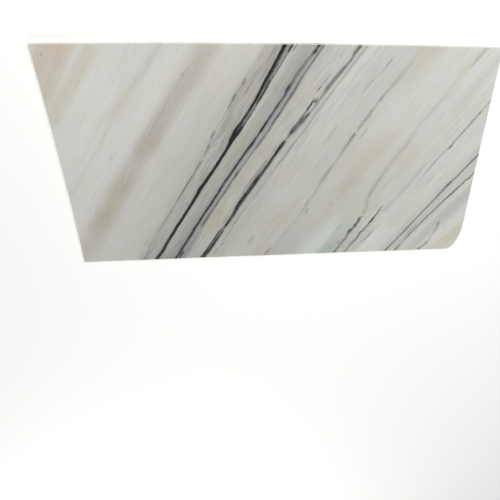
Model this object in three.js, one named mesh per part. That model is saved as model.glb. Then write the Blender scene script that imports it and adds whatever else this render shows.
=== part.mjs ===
// A natural marble slab: one sheet sawn from a quarry block, polished on one side.
//
// Frame: +X runs along the long side, +Y up the height of the polished face as it is shown upright,
// +Z out of the polished face. The slab lies on its sawn back. The origin is the middle of the back.
// Units are millimetres.

import * as THREE from 'three';

// Size of the sheet. The block was not quite square: the top side falls towards the right, and both short
// sides lean a little to the left.
const LENGTH = 1830;
const LEFT_HEIGHT = 1026;
const RIGHT_HEIGHT = 966;
const LEAN = 8;
const THICKNESS = 20;

// Outline. The left side bows in at mid-height and the top side bows out, and the block's natural corner
// rounds off the lower right.
const LEFT_BOW = 6;
const TOP_BOW = 9;
const CORNER_WIDTH = 60;
const CORNER_RISE = 150;

// Edges. The saw leaves a slow waviness along each side, and the rim's skin is rough between the two arrises.
const FACE_ARRIS = 1.2;
const BACK_ARRIS = 0.8;
const EDGE_WAVE = 1.6;
const SKIN_ROUGHNESS = 0.9;

// Spacing of the points along the outline, on the sides and round the corner.
const SIDE_STEP = 24;
const CORNER_STEP = 9;

// How far a cubic's handles reach along the sides to draw a quarter of an ellipse.
const QUARTER_PULL = 0.5523;

const POLISHED_MARBLE = new THREE.Color(0xcfcfca);

// A repeatable value from 0 to 1 for a whole number.
function grain(n) {
  const wave = Math.sin(n * 12.9898) * 43758.5453;
  return wave - Math.floor(wave);
}

// How far in from its nominal line a side runs, from 0 to 1, at a distance along the outline.
function waviness(along) {
  const slow = Math.sin(along / 83);
  const quick = Math.sin(along / 29 + 1.3);
  return 0.5 + 0.32 * slow + 0.18 * quick;
}

// The nominal outline, anticlockwise seen from the polished side, from the lower left corner.
function outlineCurves() {
  const lowerRight = new THREE.Vector2(LENGTH, 0);
  const upperRight = new THREE.Vector2(LENGTH - LEAN, RIGHT_HEIGHT);
  const upperLeft = new THREE.Vector2(-LEAN, LEFT_HEIGHT);
  const crown = upperRight.clone().lerp(upperLeft, 0.5);
  crown.y += 2 * TOP_BOW;
  const cornerStart = new THREE.Vector2(LENGTH - CORNER_WIDTH, 0);
  const cornerEnd = lowerRight.clone().lerp(upperRight, CORNER_RISE / RIGHT_HEIGHT);
  const startPull = cornerStart.clone().lerp(lowerRight, QUARTER_PULL);
  const endPull = cornerEnd.clone().lerp(lowerRight, QUARTER_PULL);
  const shape = new THREE.Shape();
  shape.moveTo(0, 0);
  shape.lineTo(cornerStart.x, cornerStart.y);
  shape.bezierCurveTo(startPull.x, startPull.y, endPull.x, endPull.y, cornerEnd.x, cornerEnd.y);
  shape.lineTo(upperRight.x, upperRight.y);
  shape.quadraticCurveTo(crown.x, crown.y, upperLeft.x, upperLeft.y);
  shape.quadraticCurveTo(-LEAN / 2 + 2 * LEFT_BOW, LEFT_HEIGHT / 2, 0, 0);
  return shape.curves;
}

// Points round the outline. Each has its place and how far the wavy edge lies in from it there.
// The waviness dies out at the ends of each side, so the corners stay where the sizes put them.
function outlinePoints() {
  const points = [];
  let along = 0;
  for (const curve of outlineCurves()) {
    const length = curve.getLength();
    const step = curve instanceof THREE.CubicBezierCurve ? CORNER_STEP : SIDE_STEP;
    const count = Math.round(length / step);
    for (let i = 0; i < count; i += 1) {
      const part = i / count;
      const fade = Math.min(1, 4 * part * (1 - part));
      const inset = EDGE_WAVE * waviness(along + part * length) * fade;
      points.push({ place: curve.getPointAt(part), inset });
    }
    along += length;
  }
  return points;
}

// The direction into the slab at a point, as long as it takes to move both neighbouring edges in by 1 mm.
function inward(points, i) {
  const here = points[i].place;
  const before = points[(i + points.length - 1) % points.length].place;
  const after = points[(i + 1) % points.length].place;
  const arriving = new THREE.Vector2().subVectors(here, before).normalize();
  const leaving = new THREE.Vector2().subVectors(after, here).normalize();
  const normal = new THREE.Vector2(-arriving.y - leaving.y, arriving.x + leaving.x).normalize();
  const lean = normal.dot(new THREE.Vector2(-arriving.y, arriving.x));
  return normal.divideScalar(lean);
}

// The rings of the rim from the back up to the polished face: height, setback of the arris and share of the
// skin's roughness.
const RINGS = [
  { z: 0, setback: BACK_ARRIS, rough: 0 },
  { z: BACK_ARRIS, setback: 0, rough: 0.2 },
  { z: THICKNESS * 0.35, setback: 0, rough: 1 },
  { z: THICKNESS * 0.68, setback: 0, rough: 1 },
  { z: THICKNESS - FACE_ARRIS, setback: 0, rough: 0.2 },
  { z: THICKNESS, setback: FACE_ARRIS, rough: 0 },
];

// One ring of the rim as a loop of points in space. The skin's roughness also dies out at the corners.
function ringLoop(points, ring, level) {
  return points.map(({ place, inset }, i) => {
    const pit = SKIN_ROUGHNESS * ring.rough * grain(i * 7 + level * 131) * Math.min(1, inset / EDGE_WAVE * 2);
    const step = inward(points, i).multiplyScalar(inset + ring.setback + pit);
    return new THREE.Vector3(place.x + step.x, place.y + step.y, ring.z);
  });
}

// The closed solid: the rim's bands, the flat back and the flat polished face.
function slabGeometry() {
  const points = outlinePoints();
  const loops = RINGS.map((ring, level) => ringLoop(points, ring, level));
  const count = points.length;
  const indices = [];
  for (let level = 0; level + 1 < loops.length; level += 1) {
    for (let i = 0; i < count; i += 1) {
      const next = (i + 1) % count;
      const low = level * count;
      const high = low + count;
      indices.push(low + i, low + next, high + next);
      indices.push(low + i, high + next, high + i);
    }
  }
  const face = loops.at(-1);
  const faceStart = (loops.length - 1) * count;
  for (const [a, b, c] of THREE.ShapeUtils.triangulateShape(face.map((p) => new THREE.Vector2(p.x, p.y)), [])) {
    indices.push(faceStart + a, faceStart + b, faceStart + c);
  }
  for (const [a, b, c] of THREE.ShapeUtils.triangulateShape(loops[0].map((p) => new THREE.Vector2(p.x, p.y)), [])) {
    indices.push(a, c, b);
  }
  const geometry = new THREE.BufferGeometry();
  geometry.setAttribute('position', new THREE.Float32BufferAttribute(loops.flat().flatMap((p) => p.toArray()), 3));
  geometry.setIndex(indices);
  geometry.computeVertexNormals();
  geometry.computeBoundingBox();
  const middle = geometry.boundingBox.getCenter(new THREE.Vector3());
  return geometry.translate(-middle.x, -middle.y, 0);
}

const material = new THREE.MeshStandardMaterial({ color: POLISHED_MARBLE, roughness: 0.2, metalness: 0 });
const slab = new THREE.Mesh(slabGeometry(), material);
slab.name = 'slab';

const part = new THREE.Group();
part.add(slab);

export default part;
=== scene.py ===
import math

import bmesh
import bpy
from mathutils import Matrix, Vector, noise


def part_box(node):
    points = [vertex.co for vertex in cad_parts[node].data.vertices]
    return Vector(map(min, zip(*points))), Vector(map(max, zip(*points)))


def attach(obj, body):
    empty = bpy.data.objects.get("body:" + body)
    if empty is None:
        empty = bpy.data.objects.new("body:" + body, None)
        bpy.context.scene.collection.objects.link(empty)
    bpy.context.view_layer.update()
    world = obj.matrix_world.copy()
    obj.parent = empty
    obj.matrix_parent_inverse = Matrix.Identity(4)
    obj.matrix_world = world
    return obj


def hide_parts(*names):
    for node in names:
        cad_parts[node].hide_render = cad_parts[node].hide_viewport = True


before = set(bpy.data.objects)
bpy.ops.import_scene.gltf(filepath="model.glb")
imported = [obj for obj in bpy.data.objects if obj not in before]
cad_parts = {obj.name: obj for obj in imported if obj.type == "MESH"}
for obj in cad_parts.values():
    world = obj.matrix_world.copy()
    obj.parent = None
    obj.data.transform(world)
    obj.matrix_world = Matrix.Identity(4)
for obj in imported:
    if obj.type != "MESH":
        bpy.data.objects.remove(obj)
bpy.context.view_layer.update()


# The slab. A sheet of natural marble, sawn from a quarry block by a gang of blades and polished on its upper
# face. Its rim is the block's own skin: a little wavy along each side and rough between two fine arrises. The
# left side bows in, the top side bows out, and the lower right corner is rounded where the block had lost it.

MM = 0.001
LENGTH = 1829.9 * MM  # a tenth under the solid's, which keeps the whole rim inside the solid's box
LEFT_HEIGHT = 1026 * MM
RIGHT_HEIGHT = 966 * MM
LEAN = 8 * MM
LEFT_BOW = 6 * MM
TOP_BOW = 9 * MM
CORNER_WIDTH = 60 * MM
CORNER_RISE = 150 * MM
CORNER_CUTS = 48
LONG_SIDE = 60 * MM
RIM_STEP = 3 * MM
RIM_ROWS = 6
EDGE_WAVE = 1.6 * MM
SKIN_ROUGHNESS = 0.9 * MM
COARSE_GRAIN = 14 * MM
FINE_GRAIN = 4 * MM
FACE_ARRIS = 1.2 * MM
BACK_ARRIS = 0.8 * MM
NEAR = 0.01 * MM

slab_low, slab_high = (Vector(corner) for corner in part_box("slab"))
thickness = slab_high.z - slab_low.z
lower_left = Vector((slab_low.x + LEAN, slab_low.y, slab_low.z))
slab_heart = (slab_low + slab_high) / 2


def waviness(along):
    """How far in from its nominal line a side runs, from 0 to 1, at a distance round the slab in mm."""
    return 0.5 + 0.32 * math.sin(along / 83) + 0.18 * math.sin(along / 29 + 1.3)


def verts_of(geometry):
    """The vertices among what an operator gives back."""
    return [part for part in geometry if isinstance(part, bmesh.types.BMVert)]


def inward_at(rim, i):
    """The level direction into the stone at point i of a rim that runs anticlockwise."""
    run = (rim[(i + 1) % len(rim)] - rim[i - 1]).normalized()
    return Vector((-run.y, run.x, 0))


bm = bmesh.new()
corners = [
    lower_left,
    lower_left + Vector((LENGTH, 0, 0)),
    lower_left + Vector((LENGTH - LEAN, RIGHT_HEIGHT, 0)),
    lower_left + Vector((-LEAN, LEFT_HEIGHT, 0)),
]
sheet = bm.faces.new([bm.verts.new(corner) for corner in corners])
lost_corner = sheet.verts[1]

# The lost corner is rounded to an ellipse, by rounding it to a circle while the sheet is flattened.
flatten = Matrix.Scale(CORNER_WIDTH / CORNER_RISE, 4, (0, 1, 0))
bmesh.ops.transform(bm, matrix=flatten, verts=bm.verts)
bmesh.ops.bevel(
    bm,
    geom=[lost_corner],
    offset=CORNER_WIDTH,
    offset_type="OFFSET",
    segments=CORNER_CUTS,
    profile=0.5,
    affect="VERTICES",
    material=-1,
)
bmesh.ops.transform(bm, matrix=flatten.inverted(), verts=bm.verts)

# Each long side is divided, then bowed and waved as the sheet's own outline is. Anticlockwise, the left side
# runs down and the top side to the left.
along = 0.0
sheet = bm.faces[:][0]
outline = [loop.vert.co.copy() for loop in sheet.loops]
first = min(range(len(outline)), key=lambda i: (outline[i] - lower_left).length)
outline = outline[first:] + outline[:first]
for start, end in zip(outline, outline[1:] + outline[:1]):
    span = (end - start).length
    if span > LONG_SIDE:
        middle = (start + end) / 2
        side = min(bm.edges, key=lambda edge: (edge.verts[0].co + edge.verts[1].co - 2 * middle).length)
        run = (end - start).normalized()
        inward = Vector((-run.y, run.x, 0))
        bow = LEFT_BOW if run.y < -0.9 else -TOP_BOW if run.x < -0.9 else 0
        divided = bmesh.ops.subdivide_edges(bm, edges=[side], cuts=round(span / RIM_STEP) - 1)
        for vert in verts_of(divided["geom_inner"]):
            part = (vert.co - start).length / span
            swell = 4 * part * (1 - part)
            wave = waviness((along + part * span) / MM) * min(1, swell)
            vert.co += inward * (EDGE_WAVE * wave + bow * swell)
    along += span

# The sheet gets its thickness, and the rim its rows of rough skin.
sheet = bm.faces[:][0]
rim = [loop.vert.co.copy() for loop in sheet.loops]
if sheet.normal.z < 0:
    rim.reverse()
raised = bmesh.ops.extrude_face_region(bm, geom=[sheet])
bmesh.ops.translate(bm, verts=verts_of(raised["geom"]), vec=(0, 0, thickness))
bmesh.ops.recalc_face_normals(bm, faces=bm.faces)
uprights = [edge for edge in bm.edges if abs(edge.verts[0].co.z - edge.verts[1].co.z) > thickness / 2]
bmesh.ops.subdivide_edges(bm, edges=uprights, cuts=RIM_ROWS - 1, use_grid_fill=True)

inward_from = {(round(p.x, 6), round(p.y, 6)): inward_at(rim, i) for i, p in enumerate(rim)}
for vert in bm.verts:
    inward = inward_from[(round(vert.co.x, 6), round(vert.co.y, 6))]
    if slab_low.z + NEAR < vert.co.z < slab_high.z - NEAR:
        coarse = 0.5 + 0.5 * noise.noise(vert.co / COARSE_GRAIN)
        fine = 0.5 + 0.5 * noise.noise(vert.co / FINE_GRAIN)
        vert.co += inward * SKIN_ROUGHNESS * (0.6 * coarse + 0.4 * fine)

for level, arris in ((slab_high.z, FACE_ARRIS), (slab_low.z, BACK_ARRIS)):
    edges = [
        edge
        for edge in bm.edges
        if all(abs(vert.co.z - level) < NEAR for vert in edge.verts)
    ]
    bmesh.ops.bevel(
        bm,
        geom=edges,
        offset=arris,
        offset_type="OFFSET",
        segments=2,
        profile=0.5,
        affect="EDGES",
        clamp_overlap=True,
        material=-1,
    )

# The polished face, the sawn back and the rim each have their own finish, in that order.
bm.normal_update()
for face in bm.faces:
    face.material_index = 0 if face.normal.z > 0.999 else 1 if face.normal.z < -0.999 else 2
    face.smooth = face.material_index == 2

slab_mesh = bpy.data.meshes.new("marble_slab")
bm.to_mesh(slab_mesh)
bm.free()
slab = bpy.data.objects.new("marble_slab", slab_mesh)
bpy.context.collection.objects.link(slab)
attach(slab, "root")
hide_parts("slab")

# The stone itself is white calcite marble. Its beds run up to the right at 57 degrees, and everything in it
# follows that grain: near-black and blue-black veins of graphite and mica in long broken strands, soft grey
# ones between them, and wide beds stained taupe, cream and blue-grey.

GRAIN = math.radians(57)
DIP = 0.45


def linear(code):
    """A colour given as an sRGB hex number, in the linear values that a shader takes."""
    parts = [(code >> shift & 255) / 255 for shift in (16, 8, 0)]
    return [*((c / 12.92 if c <= 0.04045 else ((c + 0.055) / 1.055) ** 2.4) for c in parts), 1.0]


def add(tree, kind, sockets=None, **settings):
    """Adds a node with its settings, and its input sockets' values or links."""
    made = tree.nodes.new("ShaderNode" + kind)
    for name, value in settings.items():
        setattr(made, name, value)
    for name, value in (sockets or {}).items():
        if isinstance(value, bpy.types.NodeSocket):
            tree.links.new(value, made.inputs[name])
        else:
            made.inputs[name].default_value = value
    return made


def draw_curve(curve, points, handles="AUTO_CLAMPED"):
    """Passes one curve of a curve node through the points."""
    curve.points[0].location = points[0]
    curve.points[1].location = points[-1]
    for point in points[1:-1]:
        curve.points.new(*point)
    for point in curve.points:
        point.handle_type = handles


def draw_ramp(ramp, low, dark, high, pale):
    """Runs a colour ramp from one sRGB hex colour at low to another at high."""
    for stop, position, colour in zip(ramp.color_ramp.elements, (low, high), (dark, pale)):
        stop.position = position
        stop.color = linear(colour)


def stretched_noise(tree, place, long, wide, detail, roughness=0.5):
    """Noise whose grains are so many mm long along the grain and so many wide across it."""
    scaled = add(tree, "Mapping", {"Vector": place, "Scale": (1 / long, 1 / wide, 1 / wide)})
    sockets = {"Vector": scaled.outputs[0], "Scale": 1.0, "Detail": detail, "Roughness": roughness}
    return add(tree, "TexNoise", sockets).outputs["Fac"]


marble = bpy.data.node_groups.new("bedded_marble", "ShaderNodeTree")
marble.interface.new_socket("Stone", in_out="OUTPUT", socket_type="NodeSocketColor")
marble.interface.new_socket("Vein", in_out="OUTPUT", socket_type="NodeSocketFloat")

# The pattern is laid out in mm from the face's lower left corner. The beds thin out towards the right, by
# THINNING of their thickness over the sheet's length. Up the sheet they lie a little closer still, by UPWARD,
# from DROP mm under the lower side.
THINNING = 0.035
UPWARD = 0.0232
DROP = 4.2
face_corner = Vector((lower_left.x, lower_left.y, slab_high.z))
spot = add(
    marble,
    "Mapping",
    {
        "Vector": add(marble, "TexCoord").outputs["Object"],
        "Scale": (1 / MM, 1 / MM, 1 / MM),
        "Location": -face_corner / MM,
    },
).outputs["Vector"]
spot = add(marble, "SeparateXYZ", {"Vector": spot}).outputs
closer = add(
    marble,
    "Math",
    {0: spot["X"], 1: THINNING / (LENGTH / MM), 2: 1 - THINNING},
    operation="MULTIPLY_ADD",
).outputs[0]
evened_x = add(marble, "Math", {0: spot["X"], 1: closer}, operation="MULTIPLY").outputs[0]
closer = add(marble, "Math", {0: closer, 1: UPWARD}, operation="ADD").outputs[0]
evened_y = add(marble, "Math", {0: spot["Y"], 1: closer, 2: -DROP}, operation="MULTIPLY_ADD").outputs[0]
evened = add(marble, "CombineXYZ", {"X": evened_x, "Y": evened_y, "Z": spot["Z"]}).outputs[0]
bedded = add(marble, "Mapping", {"Vector": evened, "Rotation": (0, 0, -GRAIN)}).outputs["Vector"]

# The beds dip through the sheet. Slow and quick wanderings of 1 to 2 mm and a feathering of the edges keep
# every vein from running as true as a drawn line.
slow = stretched_noise(marble, bedded, 70, 40, 1)
quick = stretched_noise(marble, bedded, 16, 9, 2)
feather = stretched_noise(marble, bedded, 34, 3.2, 2)
apart = add(marble, "SeparateXYZ", {"Vector": bedded})
along_grain = apart.outputs["X"]
across_grain = add(
    marble,
    "Math",
    {0: apart.outputs["Z"], 1: DIP, 2: apart.outputs["Y"]},
    operation="MULTIPLY_ADD",
).outputs[0]
for wander, reach in ((slow, 3.0), (quick, 2.6), (feather, 3.4)):
    moved = add(marble, "Math", {0: wander, 1: reach, 2: across_grain}, operation="MULTIPLY_ADD")
    across_grain = add(marble, "Math", {0: moved.outputs[0], 1: reach / 2}, operation="SUBTRACT").outputs[0]

# Fine strands along the grain break up the veins, from the firm ones that stay nearly whole to the torn ones
# that keep a quarter of their colour at the weakest. Hairlines run where a stretched noise crosses its middle
# value.
sockets = {"X": along_grain, "Y": across_grain, "Z": apart.outputs["Z"]}
strand_place = add(marble, "CombineXYZ", sockets).outputs[0]
strands = stretched_noise(marble, strand_place, 90, 5, 3, 0.6)
grains = stretched_noise(marble, strand_place, 20, 3.5, 2, 0.6)
strands = add(marble, "Math", {0: grains, 1: strands}, operation="ADD").outputs[0]
firm, tight, broken, torn, faint = (
    add(
        marble,
        "MapRange",
        {"Value": strands, "From Min": 0.76, "From Max": 1.16, "To Min": least, "To Max": 1.16},
    ).outputs[0]
    for least in (0.85, 0.69, 0.42, 0.28, 0.76)
)
hairs = add(marble, "FloatCurve", {"Value": stretched_noise(marble, strand_place, 240, 15, 3, 0.55)})
draw_curve(hairs.mapping.curves[0], [(0, 0), (0.43, 0), (0.49, 1), (0.51, 1), (0.57, 0), (1, 0)], "VECTOR")
hairs.mapping.update()
hairlines = add(marble, "Math", {0: hairs.outputs[0], 1: broken}, operation="MULTIPLY").outputs[0]

# The ground: light grey-white, cooler and warmer by turns in beds 30 to 100 mm wide.
beds = stretched_noise(marble, strand_place, 420, 60, 2)
ground = add(marble, "ValToRGB", {"Fac": beds})
draw_ramp(ground, 0.32, 0xCFD1CE, 0.68, 0xD4D3CD)
stone = ground.outputs["Color"]


SKIRT_REACH = 2.4
MARGIN = 4


def vein(colour, soft, path, threads=None, skirt=0.0):
    """Lays a vein or a bed over the stone. Each point of its path is a distance along the grain and one
    across it, in mm from the lower left corner of the face, and where they change its width in mm and how
    fully it covers the ground. Soft is the share of the width over which its edges fade, and skirt how dark
    the smoky margin is that some veins have on both sides."""
    global stone
    reach = SKIRT_REACH if skirt else 1
    points = []
    for u, v, *size in path:
        width, cover = size or (width, cover)
        points.append((u, v, width * reach, cover))
    start, end = points[0][0], points[-1][0]
    low = min(v - w for _, v, w, _ in points) - MARGIN
    high = max(v + w for _, v, w, _ in points) + MARGIN

    # The near and the far edge of a band and the vein's cover are three curves of the way along it. No range
    # is clamped, because the curves hold their end values.
    span = {"Value": along_grain, "From Min": start, "From Max": end}
    run = add(marble, "MapRange", span, clamp=False)
    step = add(marble, "CombineColor", {i: run.outputs[0] for i in range(3)})
    shape = add(marble, "RGBCurve", {"Color": step.outputs[0]})
    parts = [(u - start) / (end - start) for u, _, _, _ in points]
    near, far, full, _ = shape.mapping.curves
    draw_curve(near, [(t, (v - w - low) / (high - low)) for t, (_, v, w, _) in zip(parts, points)], "AUTO")
    draw_curve(far, [(t, (v + w - low) / (high - low)) for t, (_, v, w, _) in zip(parts, points)], "AUTO")
    draw_curve(full, [(t, s) for t, (_, _, _, s) in zip(parts, points)])
    shape.mapping.extend = "HORIZONTAL"
    shape.mapping.update()
    edges = add(marble, "SeparateColor", {"Color": shape.outputs[0]}).outputs

    # The vein rises and falls from one edge of the band to the other. The band is twice as wide as the vein,
    # or SKIRT_REACH times that where it has a skirt.
    span = {"Value": across_grain, "From Min": low, "From Max": high}
    lateral = add(marble, "MapRange", span, clamp=False)
    span = {"Value": lateral.outputs[0], "From Min": edges[0], "From Max": edges[1]}
    inside = add(marble, "MapRange", span, clamp=False)
    fade = add(marble, "FloatCurve", {"Value": inside.outputs[0]})
    rise, crest = 0.5 - (1 + soft) / (4 * reach), 0.5 - (1 - soft) / (4 * reach)
    side = [(0, 0), (0.6 * rise, 0.35 * skirt), (rise, skirt), (crest, 1)]
    draw_curve(fade.mapping.curves[0], side + [(1 - t, level) for t, level in reversed(side)])
    fade.mapping.extend = "HORIZONTAL"
    fade.mapping.update()

    cover = add(marble, "Math", {0: fade.outputs[0], 1: edges[2]}, operation="MULTIPLY").outputs[0]
    if threads:
        cover = add(marble, "Math", {0: cover, 1: threads}, operation="MULTIPLY").outputs[0]
    stone = add(marble, "Mix", {0: cover, 6: stone, 7: linear(colour)}, data_type="RGBA").outputs[2]


# The wide beds: the greyer middle of the sheet first, with its smoky heart, then the lighter upper right.
vein(0xC1C2BC, 0.35, [
    (-140, -300, 780, 1), (355, -440, 800, 1), (860, -520, 960, 0.95), (1240, -640, 1000, 0.45),
    (1420, -700, 900, 0.25), (1700, -700, 900, 0.1),
])
vein(0xA0A29C, 0.95, [
    (100, -338, 300, 0.42), (310, -350), (720, -345), (1050, -340, 280, 0.36), (1430, -335, 260, 0.34),
    (1480, -335),
])
vein(0xADB0A8, 0.9, [
    (330, -560, 200, 0.1), (480, -620, 280, 0.15), (640, -700, 320, 0.2), (780, -760, 260, 0.15),
    (900, -850, 240, 0.1), (1100, -900, 200, 0),
])
vein(0xDDDFDA, 0.9, [(1560, -950, 200, 0), (1660, -980, 220, 0.24), (1780, -980, 220, 0.48)])

# Beds of the upper left corner, beige and yellowish, and faint lines and a pale bed below them.
vein(0xC5BBA8, 0.4, [(600, 468, 124, 0.6), (723, 470), (900, 470, 124, 0.7)])
vein(0xBDB79A, 0.6, [
    (560, 374, 36, 0.2), (620, 372, 50, 0.4), (800, 366, 50, 0.55), (900, 362), (1010, 360, 44, 0.45),
])
vein(0xCDB9AA, 0.9, [(780, 470, 40, 0), (870, 468, 60, 0.25), (915, 462, 60, 0.3)])
vein(0xA9A8A2, 0.9, [
    (330, 186, 14.5, 0.11), (420, 184, 14.5, 0.19), (520, 181, 18, 0.22), (650, 179, 16, 0.22),
    (760, 177, 18, 0.19), (860, 170, 18, 0.22), (930, 167, 21.5, 0.28), (990, 160, 21.5, 0.28),
    (1060, 156, 21.5, 0.22), (1120, 152, 18, 0.17),
], broken)
vein(0xADADA8, 0.9, [
    (470, 213, 14, 0), (500, 212, 17, 0.24), (570, 211, 14, 0.18), (640, 212, 14, 0.15),
    (700, 214, 11, 0.12), (760, 214, 11, 0),
], broken)
vein(0xC6BEA6, 0.9, [(700, 184, 30, 0), (800, 180, 40, 0.35), (850, 178, 38, 0.3), (960, 172, 20, 0)])
vein(0xDDDED9, 0.9, [
    (420, 290, 150, 0.1), (560, 295, 150, 0.35), (820, 320, 190, 0.35), (1000, 330, 200, 0.3),
])

# The taupe bed, brown in two places, with a fine line in it, and the cream and rose patches below.
vein(0xB0ACA0, 0.85, [
    (-60, 10, 94, 0.45), (50, 10, 94, 0.5), (180, 14, 98, 0.6), (230, 18, 100, 0.7),
    (300, 16, 100, 0.76), (340, 16, 98, 0.72), (430, 16, 96, 0.72), (530, 16, 92, 0.72),
    (590, 15, 86, 0.6), (640, 15, 82, 0.7), (700, 14, 80, 0.82), (760, 10, 78, 0.74),
    (820, 11, 76, 0.68), (900, 9, 78, 0.64), (980, 5, 80, 0.68), (1060, 0, 82, 0.66),
    (1150, -4, 82, 0.62), (1270, -10, 80, 0.5),
], faint)
vein(0xB09C84, 0.9, [(150, 20, 60, 0), (260, 18, 64, 0.2), (310, 15, 60, 0.2), (420, 20, 40, 0)])
vein(0xB2AAAA, 0.9, [(700, 20, 50, 0), (790, 18, 70, 0.3), (860, 14, 60, 0.2), (920, 10, 40, 0)])
vein(0xAAA48C, 0.9, [(360, 26, 50, 0), (430, 24, 70, 0.25), (490, 20, 60, 0.2), (540, 16, 40, 0)])
vein(0xB09C84, 0.9, [(580, 14, 40, 0), (690, 8, 60, 0.16), (740, 2, 60, 0.15), (850, 0, 30, 0)])
vein(0x918D82, 0.9, [
    (380, 8, 5, 0), (430, 6, 5, 0.21), (520, 15, 6, 0.18), (640, 25, 6, 0.18), (760, 26, 6, 0.21),
    (900, 27, 6, 0.24), (960, 27, 6, 0.24), (1050, 22, 6, 0.18), (1130, 18, 5, 0),
], broken)
vein(0xC3BFAF, 0.8, [
    (220, -165, 60, 0), (330, -150, 110, 0.16), (420, -155, 130, 0.18), (570, -140, 130, 0.18),
    (720, -155, 100, 0.16), (900, -145, 100, 0.18), (1060, -125, 120, 0.25), (1250, -140, 100, 0.18),
    (1340, -146, 80, 0.11),
])
vein(0xCBCCC6, 0.9, [
    (-40, -90, 150, 0.5), (100, -100, 170, 0.45), (260, -130, 130, 0.3), (420, -140, 110, 0.2),
    (700, -150, 80, 0),
])

# Grey beds on both sides of the first vein, olive, lavender and blue ones round the second.
vein(0xA4A198, 0.9, [
    (100, -262, 70, 0.4), (210, -262, 66, 0.3), (296, -257, 60, 0.2), (402, -252, 54, 0.16),
    (532, -250, 50, 0.28), (641, -250, 50, 0.28), (760, -250, 50, 0.2), (900, -245, 60, 0.2),
    (980, -238, 70, 0.34), (1120, -230, 80, 0.52), (1260, -226, 80, 0.56), (1400, -222, 70, 0.5),
])
vein(0x8B8D88, 0.9, [
    (110, -230, 22, 0.5), (200, -236, 24, 0.45), (260, -230, 18, 0.2), (330, -226, 12, 0),
], broken)
vein(0xA3A5A2, 0.6, [
    (171, -336, 46, 0.75), (218, -337), (304, -338), (426, -332, 42, 0.7), (540, -328, 40, 0.62),
    (691, -328), (825, -328, 40, 0.58), (967, -330, 38, 0.5), (1103, -326, 40, 0.66),
    (1228, -324, 44, 0.58), (1384, -312, 50, 0.5), (1450, -304),
])
vein(0x8E9290, 0.9, [
    (150, -338, 50, 0.6), (218, -338, 46, 0.42), (312, -334, 36, 0.28), (434, -328, 30, 0.16),
    (548, -320, 30, 0),
])
vein(0x7C7F86, 0.9, [
    (180, -366, 50, 0.3), (300, -364, 50, 0.34), (420, -364, 48, 0.36), (560, -362, 42, 0.28),
    (700, -362, 40, 0.24), (840, -362, 40, 0.2), (980, -364, 40, 0.24), (1100, -366, 42, 0.32),
    (1200, -364, 50, 0.36), (1330, -364, 50, 0.24), (1480, -364),
])
vein(0xAEA992, 0.9, [
    (560, -312, 20, 0), (660, -314, 30, 0.35), (800, -315, 26, 0.25), (930, -324, 28, 0.4),
    (1060, -320, 24, 0.2), (1180, -316, 34, 0.35), (1290, -320, 24, 0),
])
vein(0x9B9EA6, 0.9, [(1180, -335, 30, 0), (1266, -328, 40, 0.15), (1383, -325, 50, 0.2), (1449, -323)])
vein(0x888F90, 0.9, [
    (200, -382, 26, 0.7), (300, -383, 28, 0.65), (350, -382, 24, 0.45), (420, -379, 16, 0.2),
    (470, -376, 10, 0),
])
vein(0x9E9EA4, 0.9, [
    (538, -368, 16, 0), (600, -367, 14, 0.3), (700, -365, 14, 0.3), (870, -367, 14, 0.45),
    (960, -370, 16, 0.55), (1060, -370, 16, 0.55), (1170, -369, 16, 0.45), (1260, -366, 20, 0.35),
    (1400, -368, 24, 0.5), (1450, -368),
])

# Between the second vein and the third: mauve-grey, olive, beige and a warm yellow.
vein(0xC9CAC4, 0.9, [
    (420, -440, 30, 0), (600, -430, 40, 0.2), (840, -432, 44, 0.35), (960, -432, 44, 0.35),
    (1120, -440, 40, 0),
])
vein(0xB6B092, 0.9, [(440, -420, 30, 0), (500, -415, 60, 0.45), (560, -418, 60, 0.45), (640, -425, 40, 0)])
vein(0xBDB39F, 0.9, [
    (640, -415, 30, 0), (720, -412, 50, 0.21), (800, -420, 54, 0.24), (900, -425, 54, 0.24),
    (1040, -425, 40, 0),
])
vein(0xB7B7A4, 0.9, [
    (930, -410, 44, 0), (1050, -415, 50, 0.08), (1180, -420, 56, 0.08), (1320, -420, 50, 0),
])
vein(0xC2B498, 0.9, [
    (1160, -422, 40, 0), (1240, -425, 50, 0.3), (1285, -432, 50, 0.2), (1360, -440, 40, 0),
])

# Right of the third vein: grey-olive at the foot, then rose, orange, cream and blue-green patches, and grey
# and cream beds round the thin veins.
vein(0xA9ABA0, 0.8, [
    (250, -515, 60, 0.12), (400, -530, 70, 0.13), (520, -545, 80, 0.12), (640, -560, 80, 0.06),
    (760, -570, 60, 0),
])
vein(0xB5AE92, 0.9, [(460, -492, 16, 0), (560, -492, 20, 0.35), (660, -500, 16, 0)])
vein(0xA3B4B2, 0.9, [(680, -503, 20, 0), (755, -507, 26, 0.35), (830, -512, 20, 0)])
vein(0xBDB4A4, 0.9, [(780, -530, 40, 0), (900, -560, 70, 0.25), (980, -585, 60, 0.2), (1080, -600, 30, 0)])
vein(0xBFC0A8, 0.9, [(900, -600, 40, 0), (1000, -595, 60, 0.25), (1100, -590, 40, 0)])
vein(0xB0A6A0, 0.9, [(400, -700, 60, 0.25), (480, -690, 70, 0.25), (620, -670, 30, 0)])
vein(0xBCA994, 0.9, [(540, -655, 50, 0), (650, -665, 70, 0.22), (730, -680, 60, 0.2), (860, -700, 50, 0)])
vein(0xA6ABA8, 0.9, [
    (420, -737, 30, 0.4), (480, -738, 30, 0.5), (610, -737, 30, 0.4), (730, -741, 30, 0.3),
    (812, -736, 30, 0),
])
vein(0x9FA29B, 0.9, [
    (440, -790, 90, 0.4), (560, -800, 90, 0.35), (620, -800, 70, 0.2), (740, -800, 50, 0),
])
vein(0xCDD6D5, 0.9, [
    (540, -895, 70, 0.3), (640, -898, 74, 0.52), (720, -898, 76, 0.54), (800, -905, 80, 0.38),
    (960, -910, 60, 0),
])
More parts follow.
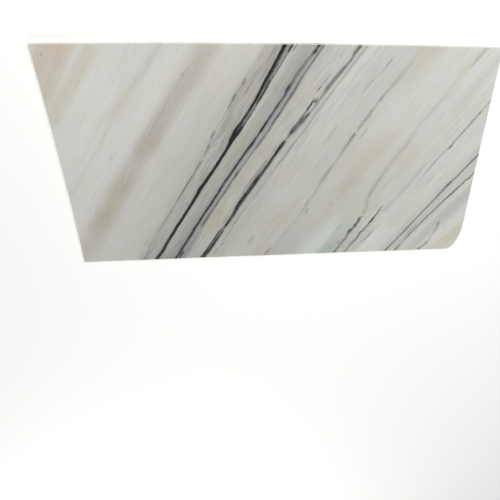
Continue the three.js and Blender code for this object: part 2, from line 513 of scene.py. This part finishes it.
vein(0x94ACA6, 0.9, [
    (570, -955, 50, 0.59), (660, -962, 56, 0.62), (700, -962, 54, 0.42), (760, -955, 50, 0.3),
    (830, -955, 50, 0.17), (900, -955, 40, 0),
])
vein(0xBFB199, 0.9, [
    (660, -810, 60, 0), (760, -825, 100, 0.21), (840, -845, 100, 0.21), (980, -860, 60, 0),
])
vein(0xBDBE9F, 0.9, [
    (780, -960, 60, 0), (870, -970, 100, 0.3), (920, -1000, 110, 0.25), (1040, -1010, 60, 0),
])
vein(0xBBB197, 0.9, [
    (900, -835, 50, 0), (1000, -832, 70, 0.4), (1120, -825, 80, 0.36), (1200, -835, 80, 0.36),
    (1360, -860, 50, 0),
])
vein(0xBDB4A0, 0.9, [(1000, -750, 50, 0), (1130, -745, 70, 0.2), (1240, -740, 50, 0)])
vein(0xC6B9A2, 0.9, [(1120, -975, 60, 0), (1250, -970, 80, 0.25), (1380, -960, 60, 0)])
vein(0xBFBBA3, 0.9, [(1400, -745, 80, 0), (1560, -745, 90, 0.35), (1660, -750, 80, 0.4), (1750, -750)])
vein(0xC4C3A2, 0.9, [(1560, -918, 24, 0), (1680, -918, 34, 0.35), (1760, -918, 30, 0.2)])
vein(0xA9ABA5, 0.8, [
    (640, -1236, 60, 0.4), (820, -1240, 84, 0.4), (1100, -1246, 84, 0.35), (1500, -1256, 70, 0.3),
])
vein(0xB2B4AE, 0.9, [
    (820, -690, 60, 0), (980, -690, 110, 0.3), (1200, -680, 130, 0.3), (1400, -650, 160, 0.34),
    (1560, -660, 160, 0.3),
])
vein(0xC4C0A8, 0.9, [(880, -1160, 50, 0), (1010, -1170, 80, 0.3), (1180, -1180, 40, 0)])
vein(0xA9ADA6, 0.9, [
    (820, -1325, 40, 0.5), (950, -1330, 50, 0.5), (1050, -1335, 60, 0.5), (1160, -1345, 60, 0.6),
    (1250, -1350, 50, 0.5),
])
vein(0xC2BCA2, 0.9, [
    (880, -1410, 50, 0.2), (960, -1440, 60, 0.4), (1060, -1462, 60, 0.6), (1120, -1470, 50, 0.5),
])
vein(0xB4B4AE, 0.9, [(1480, -1016, 31, 0), (1560, -1012, 38, 0.25), (1740, -1005, 38, 0.2)])
vein(0x989A94, 0.9, [
    (560, -1015, 70, 0.36), (700, -1012, 74, 0.36), (820, -1006, 60, 0.24), (900, -1000, 40, 0),
])
vein(0x9EA09A, 0.9, [(620, -1066, 50, 0.34), (820, -1066, 50, 0.3), (940, -1062, 40, 0)])
vein(0xB6B7B0, 0.9, [(960, -835, 60, 0), (1020, -835, 70, 0.3), (1100, -832, 60, 0)])

# A slow clouding that is warm where it darkens, and two layers of streaks along the grain, run through all
# the beds.
for long, wide, dark in ((150, 44, 0xFDFBF7), (230, 13, 0xF8F8F8), (60, 3.5, 0xFEFEFE)):
    streaks = add(marble, "ValToRGB", {"Fac": stretched_noise(marble, strand_place, long, wide, 3, 0.6)})
    draw_ramp(streaks, 0.34, dark, 0.66, 0xFFFFFF)
    sockets = {0: 1.0, 6: stone, 7: streaks.outputs["Color"]}
    stone = add(marble, "Mix", sockets, data_type="RGBA", blend_type="MULTIPLY").outputs[2]

# Hairlines of mica: thick round the first three veins, thin elsewhere.
vein(0x6E6F6A, 0.9, [(-100, -450, 2400, 0.05), (1900, -450, 2400, 0.05)], hairlines)
vein(0x5A5A56, 0.9, [
    (100, -225, 60, 0.3), (400, -235, 60, 0.2), (560, -240, 60, 0.18), (700, -240, 70, 0.25),
    (850, -230, 80, 0.35), (1000, -220, 80, 0.35), (1200, -220, 70, 0.3), (1380, -215, 60, 0.25),
], hairlines)
vein(0x5A5A5C, 0.6, [(150, -350, 220, 0.12), (800, -370), (1450, -390, 220, 0.12)], hairlines)
vein(0x5A5A56, 0.9, [
    (280, -500, 80, 0.2), (700, -510, 100, 0.12), (1100, -530, 120, 0.12), (1540, -540, 120, 0.12),
], hairlines)
vein(0x6A6B66, 0.9, [(600, -1130, 420, 0.1), (1600, -1150, 420, 0.08)], hairlines)

# Soft grey wisps left of the first vein, by mica that never ran together.
WISP = 0x4A4A46
vein(WISP, 0.85, [
    (110, -236, 8, 0.26), (170, -236, 9, 0.3), (215, -228, 8, 0.26), (250, -222, 8, 0.17),
    (350, -220, 7, 0.21), (380, -219.5, 8, 0.34), (450, -219.5, 9, 0.38), (480, -219, 8, 0.26),
    (530, -218.5, 9, 0.42), (570, -217.5, 10, 0.51), (610, -217, 10, 0.55), (640, -216, 11, 0.59),
    (670, -216.5, 11, 0.59), (700, -216.5, 9, 0.42), (725, -215.5, 9, 0.55), (750, -215, 9, 0.42),
    (770, -213, 8, 0.09), (795, -210, 9, 0.4), (815, -209, 9, 0.48), (832, -207, 10.5, 0.6),
    (845, -205, 8, 0.09), (868, -199, 10, 0.38), (890, -196, 11, 0.47), (910, -194, 9, 0.04),
    (1000, -191, 8, 0.04), (1025, -190, 9, 0.47), (1045, -190, 9, 0.51), (1075, -188, 11, 0.68),
    (1100, -188, 9, 0.34), (1125, -190, 8, 0.34), (1145, -190, 10, 0.59), (1165, -188, 9, 0.3),
    (1190, -187, 7, 0.09), (1290, -186, 5, 0),
], faint)
vein(0x6E6F6B, 0.9, [(440, -199, 5, 0), (500, -199, 6, 0.3), (560, -199, 5, 0)], broken)
vein(0x8E908E, 0.9, [
    (830, -208, 8, 0), (860, -212, 10, 0.4), (900, -222, 13, 0.5), (1000, -215, 13, 0.45),
    (1050, -214, 10, 0.2), (1090, -214, 10, 0),
], broken)
vein(0x6E6F6B, 0.9, [
    (1080, -217, 8, 0), (1150, -217, 9, 0.35), (1220, -217, 8, 0.1), (1300, -224, 7, 0.3),
    (1360, -224, 6, 0),
], broken)
vein(0x6E6F6B, 0.9, [
    (700, -239, 5, 0), (780, -239, 6, 0.35), (860, -240, 5, 0.1), (1180, -238, 5, 0.1),
    (1250, -238, 6, 0.35), (1320, -236, 5, 0),
], broken)
vein(0x5A5A56, 0.8, [(140, -305, 5, 0.5), (200, -305, 5, 0.5), (250, -303, 4, 0)], broken)

# The first great vein, near black: it thickens into knots, and a thinner strand leaves it on the right.
GRAPHITE = 0x080807
vein(GRAPHITE, 0.35, [
    (130, -286, 16.5, 1), (200, -286), (240, -287, 15.5, 1), (265, -286, 14.5, 1), (300, -284, 13.5, 1),
    (350, -283), (400, -282), (450, -282), (500, -281, 13, 1), (550, -280.5), (600, -279, 14, 1),
    (632, -277, 17, 1), (655, -278, 14, 1), (700, -279, 13, 1), (750, -280, 12, 1),
    (800, -280, 11.5, 1), (850, -280, 12, 1), (880, -278, 14, 1), (900, -276, 17.5, 1),
    (930, -274, 21.5, 1), (955, -273, 23.5, 1), (980, -270.5, 15.5, 1), (1000, -270, 11.5, 0.98),
    (1040, -270, 10.5, 0.95), (1080, -270, 11, 1), (1120, -268, 11.5, 1), (1160, -264.5, 12.5, 1),
    (1200, -260.5, 13, 1), (1250, -257, 14, 1), (1300, -253.5, 14.5, 1), (1350, -249), (1430, -245),
], firm, 0.16)
vein(0x4C4D49, 0.9, [
    (940, -277, 14, 0), (980, -277, 18, 0.5), (1060, -277, 16, 0.5), (1100, -277, 12, 0.38),
    (1150, -273, 14, 0.44), (1220, -270, 16, 0.56), (1280, -266, 18, 0.62), (1330, -264, 16, 0.5),
    (1420, -260),
], torn)
vein(GRAPHITE, 0.75, [
    (930, -283, 6, 0), (950, -284, 9, 0.9), (975, -284, 9, 0.9), (1000, -283, 8, 0.75),
    (1050, -283, 7, 0.65), (1085, -283, 6, 0.6), (1105, -281, 7.5, 0.9), (1160, -279.5, 9, 1),
    (1185, -277, 9, 1), (1205, -275, 8, 0.95), (1220, -276, 6, 0.6), (1280, -276, 6, 0.6),
    (1330, -275, 6, 0.6), (1350, -273, 9, 0.9), (1420, -272),
], tight)
vein(GRAPHITE, 0.8, [(1345, -285, 5, 0), (1370, -285, 6, 0.6), (1420, -285, 6, 0.6)], broken)

# The second, blue-black, with a short strand at its foot and a fainter one beside it.
vein(0x12141A, 0.6, [
    (190, -362, 13, 1), (240, -361, 12, 1), (280, -361, 11.5, 1), (320, -359, 10.5, 1), (360, -359),
    (400, -358, 10.5, 0.97), (430, -356, 10.5, 1), (480, -355.5, 10.5, 1), (520, -355, 10.5, 0.95),
    (600, -354.5, 10, 0.95), (650, -354), (700, -352.5, 9.5, 0.92), (760, -353), (820, -354),
    (860, -354, 10, 0.92), (900, -355), (930, -357, 11, 0.95), (960, -357.5, 10, 0.92),
    (985, -357, 8.5, 0.8), (1010, -358.5, 10, 0.92), (1060, -357.5, 9.5, 0.88), (1100, -357, 9, 0.85),
    (1140, -357, 9, 0.8), (1165, -358, 9.5, 0.7), (1185, -358.5, 9.5, 0.7), (1200, -356, 11, 0.75),
    (1220, -354, 12, 0.88), (1240, -354, 11, 0.65), (1280, -353, 13, 0.52), (1320, -353),
    (1360, -354, 12, 0.5), (1385, -358, 10, 0.6), (1400, -360, 10, 0.95), (1414, -360, 9, 0.8),
    (1428, -362, 10, 0.95), (1480, -364),
], tight, 0.16)
vein(0x14161C, 0.7, [
    (195, -376, 8, 0.9), (235, -375, 9, 0.95), (280, -374, 9, 0.95), (290, -373, 6, 0.4),
    (300, -372, 5, 0),
], tight)
vein(0x777C80, 0.9, [
    (200, -388, 16, 0.5), (300, -388, 18, 0.48), (400, -385, 18, 0.46), (450, -382, 15, 0.4),
    (520, -380, 14, 0.3), (600, -379, 12, 0),
], broken)
vein(0x4A4C46, 0.9, [
    (450, -379, 7, 0), (480, -378, 10.5, 0.76), (520, -377), (560, -377, 9.5, 0.71),
    (600, -377, 9.5, 0.76), (640, -377, 9, 0.67), (700, -377, 9.5, 0.76), (740, -376, 9, 0.63),
    (770, -377, 9.5, 0.88), (800, -377, 8, 0.73), (815, -378, 7, 0.49), (850, -379, 8, 0.51),
    (900, -380), (930, -382, 9, 0.67), (960, -383.5, 9.5, 0.76), (1000, -384, 9.5, 0.63),
    (1050, -383, 9, 0.76), (1080, -382, 9, 0.95), (1110, -383, 9, 0.88), (1150, -382, 9, 0.76),
    (1200, -381), (1230, -380), (1260, -377, 9.5, 0.76), (1300, -376, 9, 0.63), (1350, -376, 8, 0.61),
    (1430, -377), (1480, -377),
], faint)

# The third, black and broken: it splits above its foot, knots in the middle, parts and forks near the top.
vein(GRAPHITE, 0.5, [(250, -468, 21, 1), (325, -468), (345, -468.5, 18, 0.85), (362, -469, 12, 0)], firm)
vein(GRAPHITE, 0.75, [
    (330, -464, 8, 0), (345, -464, 9, 1), (400, -464), (430, -463, 8.5, 0.97), (470, -462, 8, 0.88),
    (490, -463, 7, 0.5), (515, -466, 6, 0),
], tight)
vein(GRAPHITE, 0.65, [
    (330, -473, 8, 0), (345, -475, 9.5, 1), (380, -475.5, 10, 1), (430, -474, 9.5, 1), (480, -473.5),
    (495, -471.5, 8, 0.75), (515, -471, 9.5, 0.9), (540, -471.5, 12, 1), (580, -471.5),
    (610, -469, 13, 1), (640, -466, 15.5, 1), (665, -465, 17, 1), (700, -465), (730, -466, 17, 0.97),
    (790, -466.5), (820, -467, 16, 0.95), (850, -467.5, 14.5, 0.93), (900, -468.5, 12.5, 0.93),
    (950, -468.5, 11.5, 0.95), (965, -468, 14, 1), (1000, -468.5, 13, 1), (1018, -469, 12, 0.9),
    (1032, -469.5, 9, 0.35), (1048, -470, 8, 0.3), (1060, -470, 8, 0),
], tight, 0.16)
vein(0x1A1A18, 0.75, [
    (1030, -471, 8, 0), (1048, -471, 10, 0.4), (1062, -470.5, 13, 0.7), (1075, -471, 16, 0.92),
    (1095, -473, 17, 0.85), (1115, -476.5, 17, 0.75), (1140, -481, 16, 0.75), (1165, -485.5, 10, 0.85),
    (1180, -488, 9, 0.65), (1196, -489, 9, 0.4), (1230, -489, 10, 0.45), (1260, -490, 11, 0.45),
    (1285, -489, 13, 0.5), (1310, -489, 14.5, 0.66), (1350, -491), (1380, -493, 14, 0.62),
    (1410, -496, 12, 0.6), (1430, -499, 9, 0.55), (1450, -500, 8.5, 0.55), (1470, -497, 10, 0.62),
    (1490, -497, 12, 0.8), (1510, -499, 12, 0.8), (1560, -500),
], tight, 0.12)
vein(0x6A6B66, 0.9, [
    (1060, -474, 20, 0), (1090, -474, 24, 0.35), (1150, -480, 24, 0.35), (1200, -482, 20, 0),
], broken)
vein(GRAPHITE, 0.8, [
    (1115, -471, 6, 0), (1140, -470.5, 8, 0.5), (1175, -471, 8, 0.5), (1190, -471, 8.5, 0.8),
    (1210, -471, 9, 0.88), (1228, -470, 8.5, 0.75), (1250, -469, 6, 0),
], tight)
vein(GRAPHITE, 0.85, [(1224, -479, 6, 0), (1236, -480, 9, 0.75), (1246, -480, 8, 0.4), (1262, -480, 6, 0)])
vein(0x3A3B38, 0.8, [
    (1262, -462, 6, 0), (1275, -462, 7, 0.4), (1290, -462, 7, 0.7), (1300, -463, 6, 0.45),
    (1340, -464, 6, 0.35), (1365, -465, 5, 0),
], broken)
vein(0x2C2C24, 0.9, [
    (700, -446, 7, 0), (712, -446, 8, 0.25), (740, -446, 9, 0.26), (780, -448, 9.5, 0.31), (830, -450),
    (870, -451), (895, -452, 10, 0.37), (912, -453, 7, 0),
], faint)
vein(0x6A685C, 0.8, [(500, -454, 5, 0), (535, -454, 6, 0.4), (575, -454, 5, 0)], broken)
vein(0x5A5A56, 0.8, [(950, -449, 4, 0), (970, -449, 5, 0.35), (990, -449, 4, 0)], broken)
vein(0x62645F, 0.8, [
    (330, -505, 5, 0), (345, -506, 5, 0.2), (360, -507, 5, 0.4), (400, -508.5, 6, 0.4),
    (425, -508, 8, 0.6), (450, -508, 5, 0.35), (480, -506, 6, 0.4), (510, -505, 6, 0.5),
    (530, -503, 6, 0.45), (560, -500, 7, 0.6), (580, -500, 6, 0.55), (620, -500, 6, 0.45),
    (650, -502, 6, 0.4), (700, -504, 5, 0.3), (750, -505, 6, 0.5), (800, -505, 6, 0.35),
    (850, -503, 5, 0.3), (900, -505, 6, 0.3), (930, -506, 7, 0.55), (960, -508, 8, 0.45),
    (1000, -509, 8, 0.65), (1030, -509.5, 9, 0.6), (1070, -511, 7, 0.5), (1100, -513, 7, 0.45),
    (1150, -512, 8, 0.5), (1200, -511), (1230, -512, 9, 0.45), (1290, -514, 7, 0.45),
    (1350, -516, 7, 0.4), (1400, -517, 7, 0.35), (1450, -519, 9, 0.4), (1500, -522, 8, 0.4),
    (1560, -523),
], broken)

# Thin grey veins across the pale right half, some only dashes.
THIN_GREY = 0x5E5F5A
vein(THIN_GREY, 0.8, [
    (735, -735, 7.5, 0), (755, -735, 7.5, 0.23), (780, -735, 12.5, 0.27), (800, -732, 12.5, 0.3),
    (820, -729, 15, 0.34), (840, -726, 10, 0.27), (870, -728, 10, 0.34), (900, -723, 12.5, 0.23),
    (930, -721, 12.5, 0.3), (960, -719, 16, 0.42), (1000, -716, 15, 0.42), (1030, -716, 12.5, 0.3),
    (1070, -716, 10, 0.23), (1100, -713, 12.5, 0.38), (1130, -711, 12.5, 0.46),
    (1160, -710, 12.5, 0.57), (1200, -708, 13.5, 0.68), (1210, -708, 12.5, 0.53), (1220, -708, 9, 0.15),
    (1235, -707, 11.5, 0.42), (1260, -705, 11.5, 0.49), (1300, -707, 15, 0.49),
    (1330, -705, 12.5, 0.46), (1360, -705, 10, 0.3), (1395, -706, 12.5, 0.53), (1420, -706, 12.5, 0.34),
    (1460, -710, 17.5, 0.3), (1500, -712, 19.5, 0.27), (1550, -712, 16, 0.15), (1640, -712, 13.5, 0.08),
], broken)
vein(THIN_GREY, 0.8, [
    (750, -757, 5, 0), (765, -757, 6, 0.3), (785, -752, 8, 0.55), (800, -748, 6, 0.2),
    (812, -746, 5, 0),
], broken)
vein(THIN_GREY, 0.8, [
    (1190, -737, 7, 0), (1205, -738, 8, 0.24), (1240, -740, 10, 0.28), (1270, -741, 8, 0),
], broken)
vein(THIN_GREY, 0.8, [
    (1090, -620, 9, 0), (1120, -620, 10, 0.19), (1180, -620, 9, 0.26), (1215, -620, 8, 0),
    (1350, -624, 7, 0.01), (1380, -625, 8, 0.22), (1400, -625, 8, 0.34), (1440, -628, 8, 0.3),
    (1460, -632, 7, 0.15), (1480, -637, 7, 0.22), (1500, -638, 8, 0.34), (1530, -638, 8, 0.38),
    (1545, -638, 7, 0.15), (1560, -638, 7, 0),
], broken)
vein(0x84847E, 0.9, [
    (470, -615, 12, 0), (495, -615, 14, 0.45), (520, -615, 14, 0.45), (545, -615, 12, 0),
], broken)
vein(0x8A8278, 0.9, [
    (420, -720, 12, 0.4), (480, -720, 13, 0.7), (505, -720, 13, 0.6), (530, -720, 10, 0),
], broken)
vein(0x84847E, 0.9, [(850, -825, 10, 0), (875, -825, 12, 0.28), (900, -825, 10, 0)], broken)
vein(0x86898C, 0.9, [
    (755, -941, 12, 0), (775, -941, 14, 0.3), (795, -941, 14, 0.3), (815, -941, 12, 0),
], broken)
vein(0x2A2B28, 0.7, [
    (590, -1008, 14, 0.74), (650, -1007, 14.5, 0.78), (665, -1006, 13, 0.7), (680, -1006, 13, 0.57),
    (700, -1006, 13, 0.49), (715, -1005), (730, -1004, 13, 0.57), (750, -1005, 12, 0.53),
    (765, -1001, 13, 0.53), (780, -999, 14.5, 0.7), (795, -997, 16.5, 0.82), (810, -1000, 14, 0.78),
    (820, -1000, 11, 0.7), (832, -1000, 16.5, 0.82), (840, -999, 14.5, 0.82), (850, -998, 12, 0.74),
    (862, -998, 13, 0.78), (872, -995, 15.5, 0.78), (880, -991, 14, 0.49), (890, -990, 10.5, 0.25),
    (900, -990, 8.5, 0),
], tight)
vein(0x7E7A68, 0.9, [(1680, -935, 10, 0), (1725, -935, 13, 0.4), (1790, -937, 12, 0.35)], broken)
vein(0x5A5A52, 0.8, [(700, -989, 6, 0), (715, -989, 7, 0.55), (730, -990, 6, 0)], broken)
vein(0x5A5A52, 0.8, [
    (868, -999, 8, 0), (878, -999, 8, 0.5), (890, -998, 7, 0.6), (900, -999, 5, 0),
], broken)
vein(0xA8A698, 0.9, [
    (900, -990, 20, 0), (930, -985, 26, 0.4), (975, -965, 28, 0.4), (1020, -949, 28, 0.4),
    (1100, -939, 24, 0.3), (1300, -932, 20, 0.2), (1500, -926, 20, 0),
])
vein(0x86877A, 0.9, [
    (900, -995, 7, 0), (915, -990, 8, 0.32), (930, -985, 8, 0.35), (950, -980, 8, 0.26),
    (975, -965, 10.5, 0.26), (1000, -955, 12.5, 0.35), (1020, -949, 15, 0.41), (1050, -945, 12.5, 0.32),
    (1080, -942, 12.5, 0.44), (1100, -939, 10.5, 0.38), (1130, -936, 10.5, 0.26),
    (1200, -933, 10.5, 0.16), (1260, -932, 12.5, 0.2), (1300, -932, 12.5, 0.29),
    (1330, -930, 10.5, 0.2), (1400, -922, 10.5, 0.13), (1440, -924, 15, 0.22), (1500, -926, 15, 0.26),
    (1540, -926, 10.5, 0.22), (1600, -922, 10.5, 0.16), (1680, -925, 10.5, 0.1),
    (1780, -930, 10.5, 0.07),
], broken)
vein(0x30312D, 0.7, [
    (620, -1052, 10, 0.45), (700, -1050, 10, 0.4), (720, -1049, 8, 0.5), (745, -1050, 10, 0.6),
    (770, -1053, 10, 0.65), (800, -1049), (815, -1047, 10, 0.78), (830, -1050, 10, 0.65),
    (850, -1051, 9, 0.65), (870, -1052, 9, 0.75), (885, -1050, 9, 0.9), (900, -1051, 10, 1),
    (912, -1050, 9, 0.95), (925, -1050, 7, 0.85), (940, -1049, 6, 0.9), (960, -1047, 5, 0.8),
    (985, -1043, 5, 0.5), (1000, -1041, 4, 0),
], tight)
vein(0x6A6C68, 0.8, [
    (765, -1087, 5, 0), (780, -1088, 7, 0.4), (810, -1093, 9, 0.6), (830, -1093), (850, -1092, 7, 0.4),
    (868, -1091, 5, 0),
], broken)
vein(THIN_GREY, 0.8, [
    (1160, -1098, 6, 0), (1200, -1100, 6, 0.2), (1250, -1103, 8, 0.4), (1280, -1102, 10, 0.4),
    (1310, -1103, 9, 0.35), (1350, -1105, 8, 0.3), (1370, -1109, 8, 0.55), (1390, -1111, 10, 0.8),
    (1405, -1110, 9, 0.62), (1430, -1109, 8, 0.55), (1480, -1109, 8, 0.7), (1520, -1108, 9, 0.7),
    (1570, -1110, 9, 0.65), (1590, -1110, 8, 0.5), (1650, -1110),
], broken)
vein(0x74766F, 0.8, [
    (1180, -1143, 5, 0), (1210, -1147, 7, 0.32), (1240, -1147), (1255, -1147, 5, 0),
], broken)
vein(0xA3A5A2, 0.9, [
    (960, -1070, 14, 0), (1000, -1070, 15, 0.5), (1150, -1076), (1250, -1075, 14, 0.4),
    (1300, -1080, 10, 0.25), (1450, -1080, 10, 0.2), (1500, -1080, 8, 0),
], broken)
vein(0x3A3C36, 0.7, [
    (740, -1222, 11.5, 0.8), (790, -1223, 11.5, 0.8), (815, -1224, 9.5, 0.76), (850, -1227, 9, 0.6),
    (900, -1229), (940, -1230, 10, 0.72), (960, -1230, 9.5, 0.68), (1000, -1230, 9.5, 0.56),
    (1050, -1232, 9.5, 0.52), (1090, -1234, 9.5, 0.56), (1130, -1235, 10.5, 0.56),
    (1180, -1236, 11.5, 0.6), (1220, -1236, 11.5, 0.64), (1245, -1237, 11.5, 0.78),
    (1270, -1240, 9.5, 0.6), (1300, -1243), (1350, -1245, 10, 0.64), (1400, -1248, 10, 0.72),
    (1420, -1249, 9.5, 0.64), (1480, -1251),
], tight)
vein(0x6A6C68, 0.8, [
    (820, -1245, 3, 0), (830, -1245, 3, 0.4), (900, -1250, 4, 0.45), (960, -1252, 5, 0.55),
    (990, -1253, 4, 0.3), (1010, -1253, 4, 0),
], broken)
vein(0x44463F, 0.7, [
    (780, -1264, 11, 0.68), (825, -1265, 11, 0.68), (850, -1265, 11, 0.64), (870, -1264, 9, 0.4),
    (900, -1264, 9, 0.48), (935, -1264, 10, 0.6), (950, -1266, 9, 0.52), (990, -1267, 10, 0.52),
    (1030, -1269, 10, 0.56), (1070, -1272, 10, 0.52), (1100, -1275, 11, 0.56), (1130, -1276),
    (1165, -1279, 10, 0.6), (1200, -1283, 10, 0.72), (1230, -1287), (1260, -1289, 10, 0.68),
    (1280, -1292), (1300, -1292, 10, 0.64), (1310, -1297, 9, 0.78), (1340, -1298, 9, 0.72),
    (1400, -1300),
], tight)
vein(0x62645C, 0.8, [
    (830, -1356, 13, 0.85), (885, -1362), (900, -1366, 11, 0.85), (920, -1371, 10, 0.75), (940, -1373),
    (955, -1373, 8, 0.4), (970, -1369, 8, 0.5), (985, -1368, 6, 0.15), (1000, -1362, 9, 0.4),
    (1015, -1362, 11, 0.4), (1040, -1352, 11, 0.45), (1055, -1346, 13, 0.7), (1065, -1345, 10, 0.4),
    (1075, -1345, 8, 0),
], torn)

# Dark specks, grains of mica on their own.
for u, v in ((571, 111), (1045, 29), (832, 503)):
    vein(0x6E6C6A, 0.9, [(u - 8, v, 5, 0), (u, v, 7, 0.5), (u + 8, v, 5, 0)])
vein(0xA39E9C, 0.9, [(1030, -1392, 12, 0), (1052, -1391, 14, 0.3), (1075, -1392, 12, 0)], broken)

# The veins hold a little less polish than the calcite, so the pattern gives how dark it is as well.
darkness = add(marble, "RGBToBW", {"Color": stone}).outputs[0]
darkness = add(marble, "MapRange", {"Value": darkness, "From Min": 0.45, "From Max": 0.08}).outputs[0]
way_out = marble.nodes.new("NodeGroupOutput")
marble.links.new(stone, way_out.inputs["Stone"])
marble.links.new(darkness, way_out.inputs["Vein"])

# Polished marble: wet-looking, with a clear soft reflection, duller along the veins.
polished = bpy.data.materials.new("polished_marble")
polished.use_nodes = True
tree = polished.node_tree
pattern = add(tree, "Group", node_tree=marble)
gloss = add(tree, "MapRange", {"Value": pattern.outputs["Vein"], "To Min": 0.14, "To Max": 0.34})
shader = tree.nodes["Principled BSDF"]
shader.inputs["IOR"].default_value = 1.49
tree.links.new(gloss.outputs[0], shader.inputs["Roughness"])
tree.links.new(pattern.outputs["Stone"], shader.inputs["Base Color"])
slab_mesh.materials.append(polished)

# The sawn back: the same stone under its own dust, matt, with the blades' straight marks about 5 mm apart and
# 900 mm long.
sawn = bpy.data.materials.new("sawn_marble")
sawn.use_nodes = True
tree = sawn.node_tree
pattern = add(tree, "Group", node_tree=marble)
place = add(tree, "TexCoord").outputs["Object"]
place = add(tree, "Mapping", {"Vector": place, "Scale": (1.1, 190, 190)}).outputs[0]
blade = add(tree, "TexNoise", {"Vector": place, "Scale": 1.0, "Detail": 3.0, "Roughness": 0.6})
dust = add(tree, "ValToRGB", {"Fac": blade.outputs["Fac"]})
draw_ramp(dust, 0.35, 0xC6C6C0, 0.65, 0xDCDCD6)
sockets = {0: 0.42, 6: pattern.outputs["Stone"], 7: dust.outputs["Color"]}
dusted = add(tree, "Mix", sockets, data_type="RGBA")
marks = add(tree, "Bump", {"Height": blade.outputs["Fac"], "Strength": 0.5, "Distance": 0.4 * MM})
shader = tree.nodes["Principled BSDF"]
shader.inputs["Roughness"].default_value = 0.62
tree.links.new(dusted.outputs[2], shader.inputs["Base Color"])
tree.links.new(marks.outputs["Normal"], shader.inputs["Normal"])
slab_mesh.materials.append(sawn)

# The rim's skin: broken crystals that scatter the light, pale and a little yellow, rough to the touch. The
# crystals are drawn 2.4 mm across, coarser than the real ones, which are too fine to show, and the stains
# 40 mm across.
skin = bpy.data.materials.new("rough_marble_skin")
skin.use_nodes = True
tree = skin.node_tree
pattern = add(tree, "Group", node_tree=marble)
place = add(tree, "TexCoord").outputs["Object"]
crystals = add(tree, "TexNoise", {"Vector": place, "Scale": 420.0, "Detail": 3.0, "Roughness": 0.65})
stains = add(tree, "TexNoise", {"Vector": place, "Scale": 24.0, "Detail": 3.0, "Roughness": 0.6})
scatter = add(tree, "ValToRGB", {"Fac": stains.outputs["Fac"]})
draw_ramp(scatter, 0.32, 0xE2DFD2, 0.6, 0xF0F0E9)
sockets = {0: 0.6, 6: pattern.outputs["Stone"], 7: scatter.outputs["Color"]}
broken_skin = add(tree, "Mix", sockets, data_type="RGBA")
grit = add(tree, "Bump", {"Height": crystals.outputs["Fac"], "Strength": 0.6, "Distance": 0.6 * MM})
shader = tree.nodes["Principled BSDF"]
shader.inputs["Roughness"].default_value = 0.72
tree.links.new(broken_skin.outputs[2], shader.inputs["Base Color"])
tree.links.new(grit.outputs["Normal"], shader.inputs["Normal"])
slab_mesh.materials.append(skin)


# The floor that the slab lies on: pale, plain and matt. Its faint glow stands in for the light that pale
# walls throw back on it, and makes it white from edge to edge.

FLOOR_SIZE = 9.0
FLOOR_PAINT = 0xF9F9F7
FLOOR_GLOW = 0.09

bm = bmesh.new()
bmesh.ops.create_grid(bm, x_segments=1, y_segments=1, size=FLOOR_SIZE)
bmesh.ops.translate(bm, verts=bm.verts, vec=(0, 0, slab_low.z))
floor_mesh = bpy.data.meshes.new("floor")
bm.to_mesh(floor_mesh)
bm.free()
floor = bpy.data.objects.new("floor", floor_mesh)
bpy.context.collection.objects.link(floor)
matt = bpy.data.materials.new("matt_floor_paint")
matt.use_nodes = True
shader = matt.node_tree.nodes["Principled BSDF"]
shader.inputs["Base Color"].default_value = linear(FLOOR_PAINT)
shader.inputs["Roughness"].default_value = 0.85
shader.inputs["Emission Color"].default_value = linear(FLOOR_PAINT)
shader.inputs["Emission Strength"].default_value = FLOOR_GLOW
floor_mesh.materials.append(matt)


# The light. A wide soft lamp hangs beyond the slab's upper right side and a weaker one before its lower side,
# between pale walls.

world = bpy.data.worlds.new("pale_room")
world.use_nodes = True
world.node_tree.nodes["Background"].inputs["Color"].default_value = linear(0xFFFFFF)
world.node_tree.nodes["Background"].inputs["Strength"].default_value = 0.34
bpy.context.scene.world = world

for name, size, energy, place in (
    ("wide_lamp", (4.0, 3.0), 178, (1.1, 2.4, 3.9)),
    ("low_lamp", (3.0, 2.0), 55, (-1.0, -3.8, 2.0)),
):
    glow = bpy.data.lights.new(name, "AREA")
    glow.shape = "RECTANGLE"
    glow.size, glow.size_y = size
    glow.energy = energy
    lamp = bpy.data.objects.new(name, glow)
    lamp.location = place
    lamp.rotation_euler = (slab_heart - lamp.location).to_track_quat("-Z", "Y").to_euler()
    lamp.visible_camera = False
    bpy.context.collection.objects.link(lamp)

bpy.context.scene.view_settings.view_transform = "Standard"


# The camera looks down over the slab's upper side, which is the top of the picture.

eye = bpy.data.cameras.new("eye")
eye.sensor_width = 36
eye.lens = 39.5
eye.shift_x = -0.024
eye.clip_start = 0.05
eye.clip_end = 60
camera = bpy.data.objects.new("eye", eye)
right = Vector((0.9989, -0.0126, 0.0461))
gaze = Vector((0.0301, -0.5837, -0.8114)).normalized()
right = (right - gaze * right.dot(gaze)).normalized()
camera.matrix_world = (
    Matrix.Translation(slab_heart + Vector((-129, 1078, 2175)) * MM)
    @ Matrix((right, right.cross(gaze), -gaze)).transposed().to_4x4()
)
bpy.context.collection.objects.link(camera)
bpy.context.scene.camera = camera
